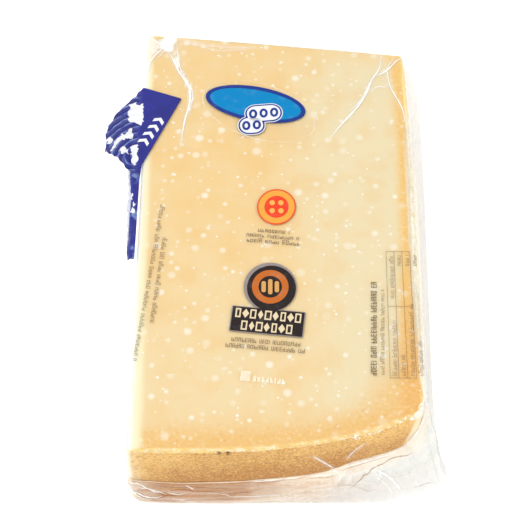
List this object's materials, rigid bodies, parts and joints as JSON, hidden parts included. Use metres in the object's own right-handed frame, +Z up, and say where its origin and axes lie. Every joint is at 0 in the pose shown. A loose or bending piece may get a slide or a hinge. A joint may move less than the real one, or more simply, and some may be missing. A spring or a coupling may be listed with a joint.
{
  "type": "hard cheese wedge",
  "caption": "Thick wedge of pale hard grating cheese with its rind, lying on a cut face and sealed in tight clear film with a label and an opening tab.",
  "frame": {"origin": "middle of the pack's box, on the surface it lies on", "axes": "+X from the end cut through the wheel's middle to the end with the wheel's flat rind, +Y from the curved rind to the thin tip, +Z up"},
  "size_m": [0.154, 0.2081, 0.0851],
  "materials": {
    "cheese": "waxy, matt, with pale grains",
    "film": "thin clear gloss film with white creases",
    "print": "printed ink under film",
    "label": "clear gloss sticker",
    "tab": "blue printed film, glossy and crumpled"
  },
  "bodies": {
    "root": {"bag": "cheese", "label": "label", "opening_tab": "tab"}
  },
  "joints": []
}
